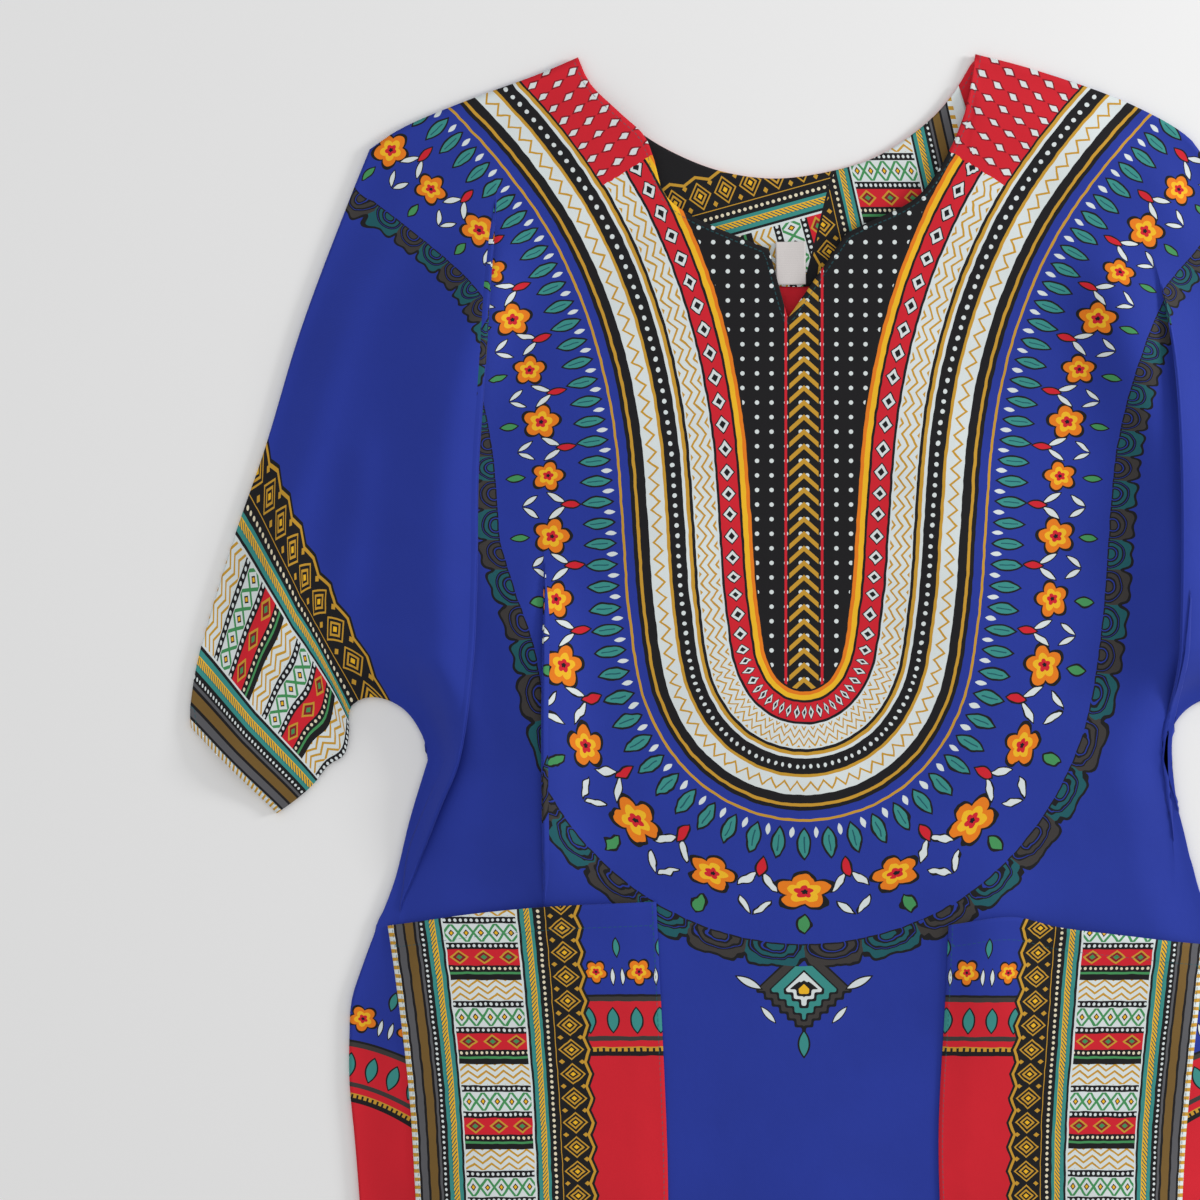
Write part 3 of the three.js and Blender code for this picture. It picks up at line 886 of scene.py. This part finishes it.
HEM_STITCH, POCKET_STITCH = 3.2, 2.6  # how far in from the edge the stitches run


def stitched(ink, colour, gap, along, inset=HEM_STITCH):
    """A row of short stitches that follows a hemmed edge."""
    seam = gap.within(inset - 0.35, inset + 0.35) * (along.fold(3.2) < 1.0)
    return ink.mix(colour, seam * 0.55, DARK_TEAL)


def pendant_print(ink, base, out, x, down):
    """Nested lozenges below the ring, with white leaves beside them and a drop below."""
    v = down - PENDANT_LEVEL
    nest = abs(x) / 30 + abs(v) / 27 - ink.math("COSINE", (v - abs(x)) * 0.7) * 0.05
    lozenges = ink.bands(nest, 1.4, [
        (0, YELLOW), (0.14, BLACK), (0.24, WHITE), (0.36, BLACK), (0.46, TEAL), (0.66, BLACK),
        (0.74, CHARCOAL), (0.9, BLACK),
    ])
    colour = ink.mix(base, (nest < 1.0) * (out > RING_OUTSIDE), lozenges)
    for leaf_out, leaf_down, lean in ((34, -4, 0.5), (22, 16, 1.1)):
        u, w = abs(x) - leaf_out, v - leaf_down
        side = ink.leaf(w + u * lean, u - w * lean, 3.2, 11)
        colour = ink.stamp(colour, side, WHITE, BLACK, 1.0)
    return ink.stamp(colour, ink.leaf(x, v - 34, 4.0, 9.0), TEAL, BLACK, 1.2)


def yoke_print(ink, ground, x, down):
    """Plain red behind the neck with a gold line under it."""
    yoke = ink.bands(down, 300, [(0, RED), (176, BLACK), (179, GOLD), (182, BLACK), (185, ground)])
    return ink.mix(yoke, (abs(x) > 150) + (down > 190), ground)


def panel_material(name, ground, is_front):
    ink = Ink(name)
    flat, (x, down, _) = ink.field("flat")
    warp = ink.noise(flat, 0.12, 1.0) - 0.5
    if is_front:
        _, (along, out, _) = ink.field("panel")
        along, out = along + warp * 1.6, out + warp * 1.2
        colour = neck_print(ink, ground, along, out, x, down)
        colour = pendant_print(ink, colour, out, x, down)
    else:
        colour = yoke_print(ink, ground, x, down)
    side_x, up_from_hem = abs(x + PRINT_CENTRE) - CORNER_OUT, CORNER_DOWN - down
    reach = ink.reach(side_x, up_from_hem)
    angle = ink.math("ARCTAN2", up_from_hem, 0 - side_x) * 150
    corner = corner_print(ink, colour, reach, angle)
    colour = ink.mix(colour, (down > CORNER_TOP) * (reach < CORNER_REACH), corner)
    _, (across, up, _) = ink.field("border")
    border = striped_border(ink, colour, up, across, BORDER_DEEP)
    colour = ink.mix(colour, up < BORDER_DEEP + 4, border)
    _, (gap, run, _) = ink.field("edge")
    colour = stitched(ink, colour, gap, run)
    return finish_cloth(ink, colour, flat)


def pocket_material(name, ground):
    ink = Ink(name)
    flat, (out, down, _) = ink.field("flat")
    warp = ink.noise(flat, 0.12, 1.0) - 0.5
    out, down = out + warp * 1.2, down + warp * 1.2
    colour = corner_print(ink, ground, POCKET_FOOT - down, out)
    colour = striped_border(ink, colour, out, down)
    _, (gap, run, _) = ink.field("edge")
    colour = stitched(ink, colour, gap, run, POCKET_STITCH)
    return finish_cloth(ink, colour, flat)


def facing_material(name):
    """Scraps of border print joined at slanted seams."""
    ink = Ink(name)
    flat, (x, down, _) = ink.field("flat")
    up, along = 96 - x * 0.25 - (down - 84) * 0.9, x * 0.9 - down * 0.25
    left = striped_border(ink, BLACK, up, along)
    up, along = BANDS_DEEP - x * 1.1 + (down - 90) * 0.25, down * 0.9 + 10
    right = striped_border(ink, BLACK, up, along)
    slant = x - 14 - (110 - down) * 0.25
    colour = ink.mix(left, slant > 0, right)
    colour = ink.mix(colour, slant.within(-0.7, 0.7), BLACK)
    return finish_cloth(ink, colour, flat)


def label_material(name):
    """A blank woven tape with faint ribs."""
    ink = Ink(name)
    flat, (x, down, _) = ink.field("flat")
    rib = down.fold(1.4) * 0.08
    colour = ink.mix(LABEL_WHITE, rib, GREY)
    return finish_cloth(ink, colour, flat)


# ---- settings ----------------------------------------------------------------------------------
class DashikiSettings(bpy.types.PropertyGroup):
    """Sizes and colours that a user would change"""

    ground: FloatVectorProperty(
        name="Ground", description="Colour of the plain cloth",
        subtype="COLOR", size=3, default=dye(36, 56, 158),
    )
    wall: FloatProperty(
        name="Cloth", description="Thickness of the shown cloth in mm",
        default=0.9, min=0.3, max=1.2,
    )
    lamp: FloatProperty(
        name="Lamp", description="Power of the main lamp",
        subtype="POWER", unit="POWER", default=19.0, min=0.0,
    )
    eye_height: FloatProperty(
        name="Eye height", description="Height of the camera over the shirt",
        unit="LENGTH", default=1.75,
    )


class DASHIKI_OT_front(bpy.types.Operator):
    """Makes the front panel with its sleeves, folds and tucks"""

    bl_idname = "dashiki.front"
    bl_label = "Front"

    def execute(self, context):
        settings = context.scene.dashiki
        panel = shirt_panel(front_guides, FRONT_NECK, True, FRONT_ROWS, FRONT_STEPS)
        grid, sleeve, faces = panel
        x, down, flat_x = grid["x"], grid["down"], grid["flat_x"]
        lift = front_height(x, down) + grid["raised"] * seam_rise(x, down, TUCK_RAMP)
        fields = panel_fields(flat_x, x, down, sleeve, FRONT_NECK)
        cloth = panel_material("print_front_cloth", tuple(settings.ground), True)
        top = lift + CLOTH
        piece = new_piece("front_panel", x, down, top, faces, fields, settings.wall, cloth)
        area = flat_area(flat_x, down, faces)
        declare(piece, "front", area)
        return {"FINISHED"}


class DASHIKI_OT_back(bpy.types.Operator):
    """Makes the back panel, flat on the surface"""

    bl_idname = "dashiki.back"
    bl_label = "Back"

    def execute(self, context):
        settings = context.scene.dashiki
        neck = soft_run(BACK_NECK)
        grid, sleeve, faces = shirt_panel(back_guides, neck, False, BACK_ROWS, BACK_STEPS)
        x, down = grid["x"], grid["down"]
        fields = panel_fields(x, x, down, sleeve, neck)
        cloth = panel_material("print_back_cloth", tuple(settings.ground), False)
        top = np.full_like(x, BACK_TOP)
        piece = new_piece("back_panel", x, down, top, faces, fields, BACK_WALL, cloth)
        declare(piece, "back", flat_area(x, down, faces))
        return {"FINISHED"}


class DASHIKI_OT_neck(bpy.types.Operator):
    """Makes the facing inside the back neck and the blank label on it"""

    bl_idname = "dashiki.neck"
    bl_label = "Back neck"

    def execute(self, context):
        arc = soft_run(BACK_NECK)
        upper, lower = arc[arc[:, 1] > FACING_START], soft_run(FACING_LOWER)
        x, down, faces, t = patch(upper, lower, 110, 26)
        top = FACING_TOP + FACING_WAVE * np.sin(x / 17) * np.sin(np.pi * t)
        fields = {"flat": triple(x, down)}
        cloth = facing_material("facing_cloth")
        facing = new_piece("neck_facing_band", x, down, top, faces, fields, FACING_WALL, cloth)
        area = flat_area(x, down, faces)
        declare(facing, "back_neck_facing", area)
        x, down, faces, _ = patch(*np.array(LABEL_ENDS, float), 18, 24)
        curl = LABEL_CURL * ((x + 3) / 9.2) ** 2 + 0.25 * np.sin(down / 4.4)
        fields, top = {"flat": triple(x, down)}, LABEL_TOP + curl
        cloth = label_material("label_tape")
        label = new_piece("label_tape", x, down, top, faces, fields, LABEL_WALL, cloth)
        declare(label, "neck_label", None)
        return {"FINISHED"}


POCKET_WIDE, POCKET_LONG, POCKET_FOOT = 166, 200, 738  # of the print on a pocket; its end
HEM_DEPTH = 14  # of the pocket's upper edge
POCKETS = {  # the edges of each pocket as (x, down)
    "left": {
        "top": [(-252.3, 539.4), (-205, 532), (-155, 527), (-86.2, 524)],
        "foot": [(-233, 734), (-156, 734), (-78.6, 732)],
        "outer": [
            (-252.3, 539.4), (-248, 566.7), (-242.4, 608), (-238, 650), (-234.4, 710), (-233, 734),
        ],
        "inner": [(-86.2, 524), (-83.7, 576.6), (-79.4, 677.7), (-78.6, 732)],
    },
    "right": {
        "top": [(254, 551), (205, 545), (161.2, 539.4), (132, 532.6), (93.6, 538)],
        "foot": [(237, 736), (160, 735), (89.6, 733)],
        "outer": [(254, 551), (250, 580), (245, 622), (241, 664), (238, 712), (237, 736)],
        "inner": [(93.6, 538), (91, 600), (88, 669.6), (89.6, 733)],
    },
}


def pocket_grid(edges, across=64, steps=72):
    """A Coons patch between the pocket's four edges, from its outer side to its inner side."""
    s = np.linspace(0, 1, across + 1)[None, :, None]
    t = np.linspace(0, 1, steps + 1)[:, None, None]
    top, foot = (at_share(soft_run(edges[k]), s[0, :, 0])[None] for k in ("top", "foot"))
    outer, inner = (at_share(soft_run(edges[k]), t[:, 0, 0])[:, None] for k in ("outer", "inner"))
    return coons(outer, inner, top, foot, s, t)


class DASHIKI_OT_pockets(bpy.types.Operator):
    """Makes both patch pockets from the front's own surface, moved out"""

    bl_idname = "dashiki.pockets"
    bl_label = "Pockets"

    def execute(self, context):
        settings = context.scene.dashiki
        cloth = pocket_material("print_pocket_cloth", tuple(settings.ground))
        for side, edges in POCKETS.items():
            points, s, t = pocket_grid(edges)
            x, down = points[..., 0].ravel(), points[..., 1].ravel()
            index = np.arange(x.size).reshape(s.shape)
            faces = quads(index) if side == "left" else quads(index)[:, ::-1]
            across, below = s.ravel() * POCKET_WIDE, t.ravel() * POCKET_LONG
            sewn = np.minimum(np.minimum(across, POCKET_WIDE - across), POCKET_LONG - below)
            gape = np.exp(-((below / 16) ** 2)) * np.sin(np.pi * s.ravel()) * POCKET_GAPE
            puff = smooth(sewn / 22) * POCKET_PUFF + gape
            top = front_height(x, down) + CLOTH + POCKET_GAP + settings.wall + puff
            seam = np.minimum(sewn, np.abs(below - HEM_DEPTH) + POCKET_STITCH)
            fields = {"flat": triple(across, down), "edge": triple(seam, across + below)}
            name = f"patch_pocket_{side}"
            piece = new_piece(name, x, down, top, faces, fields, settings.wall, cloth)
            declare(piece, f"pocket_{side}", None)
        return {"FINISHED"}


# The stage, in metres: half the floor's side and its level, the framed width and its centre.
FLOOR_HALF, FLOOR_LEVEL = 4.0, -0.0006
FRAMED_WIDTH, FRAMED_CENTRE, SENSOR = 0.744, (-0.1209, 0.0521), 36.0
LAMP_TARGET, SKY_STRENGTH = (-0.1, 0.05, 0), 0.62
LAMPS = [  # name, place, size, share of the main power
    ("main_lamp", (1.7, 0.55, 0.62), 0.42, 1.0),
    ("fill_lamp", (-0.5, 0.9, 2.1), 1.6, 0.2),
]


class DASHIKI_OT_stage(bpy.types.Operator):
    """Makes the floor, the lamps and the camera straight above"""

    bl_idname = "dashiki.stage"
    bl_label = "Stage"

    def execute(self, context):
        scene = context.scene
        settings = scene.dashiki
        mesh = bpy.data.meshes.new("floor")
        turns = ((-1, -1), (1, -1), (1, 1), (-1, 1))
        corners = [(a * FLOOR_HALF, b * FLOOR_HALF, FLOOR_LEVEL) for a, b in turns]
        mesh.from_pydata(corners, [], [(0, 1, 2, 3)])
        floor = bpy.data.objects.new("floor", mesh)
        scene.collection.objects.link(floor)
        ink = Ink("floor_white")
        values = {"Base Color": (0.92, 0.92, 0.92, 1), "Roughness": 0.9, "Specular IOR Level": 0.0}
        surface = ink.node("ShaderNodeBsdfPrincipled", (), values)
        mesh.materials.append(ink.finished(surface))
        world = bpy.data.worlds.new("studio")
        world.use_nodes = True
        sky = world.node_tree.nodes["Background"].inputs
        sky["Color"].default_value, sky["Strength"].default_value = (1, 1, 1, 1), SKY_STRENGTH
        scene.world = world
        scene.view_settings.view_transform = "Standard"
        for name, place, size, power in LAMPS:
            lamp = bpy.data.lights.new(name, "AREA")
            lamp.energy, lamp.size = settings.lamp * power, size
            holder = bpy.data.objects.new(name, lamp)
            aim = Vector(LAMP_TARGET) - Vector(place)
            holder.rotation_euler = aim.to_track_quat("-Z", "Y").to_euler()
            holder.location = place
            scene.collection.objects.link(holder)
        lens = bpy.data.cameras.new("camera")
        lens.sensor_width = SENSOR
        lens.lens = SENSOR * settings.eye_height / FRAMED_WIDTH
        camera = bpy.data.objects.new("camera", lens)
        camera.location = (*FRAMED_CENTRE, settings.eye_height)
        scene.collection.objects.link(camera)
        scene.camera = camera
        return {"FINISHED"}


class DASHIKI_PT_panel(bpy.types.Panel):
    """Lists the settings and the steps"""

    bl_idname = "DASHIKI_PT_panel"
    bl_label = "Dashiki shirt"
    bl_space_type = "VIEW_3D"
    bl_region_type = "UI"
    bl_category = "Dashiki"

    def draw(self, context):
        for name in DashikiSettings.__annotations__:
            self.layout.prop(context.scene.dashiki, name)
        for step in STEPS:
            self.layout.operator(step.bl_idname)


STEPS = (DASHIKI_OT_back, DASHIKI_OT_neck, DASHIKI_OT_front, DASHIKI_OT_pockets, DASHIKI_OT_stage)
CLASSES = (DashikiSettings, *STEPS, DASHIKI_PT_panel)


def register():
    for cls in CLASSES:
        bpy.utils.register_class(cls)
    bpy.types.Scene.dashiki = PointerProperty(type=DashikiSettings)


def unregister():
    del bpy.types.Scene.dashiki
    for cls in reversed(CLASSES):
        bpy.utils.unregister_class(cls)


def main():
    register()
    bpy.ops.dashiki.back()
    bpy.ops.dashiki.neck()
    bpy.ops.dashiki.front()
    bpy.ops.dashiki.pockets()
    bpy.ops.dashiki.stage()


if __name__ == "__main__":
    main()
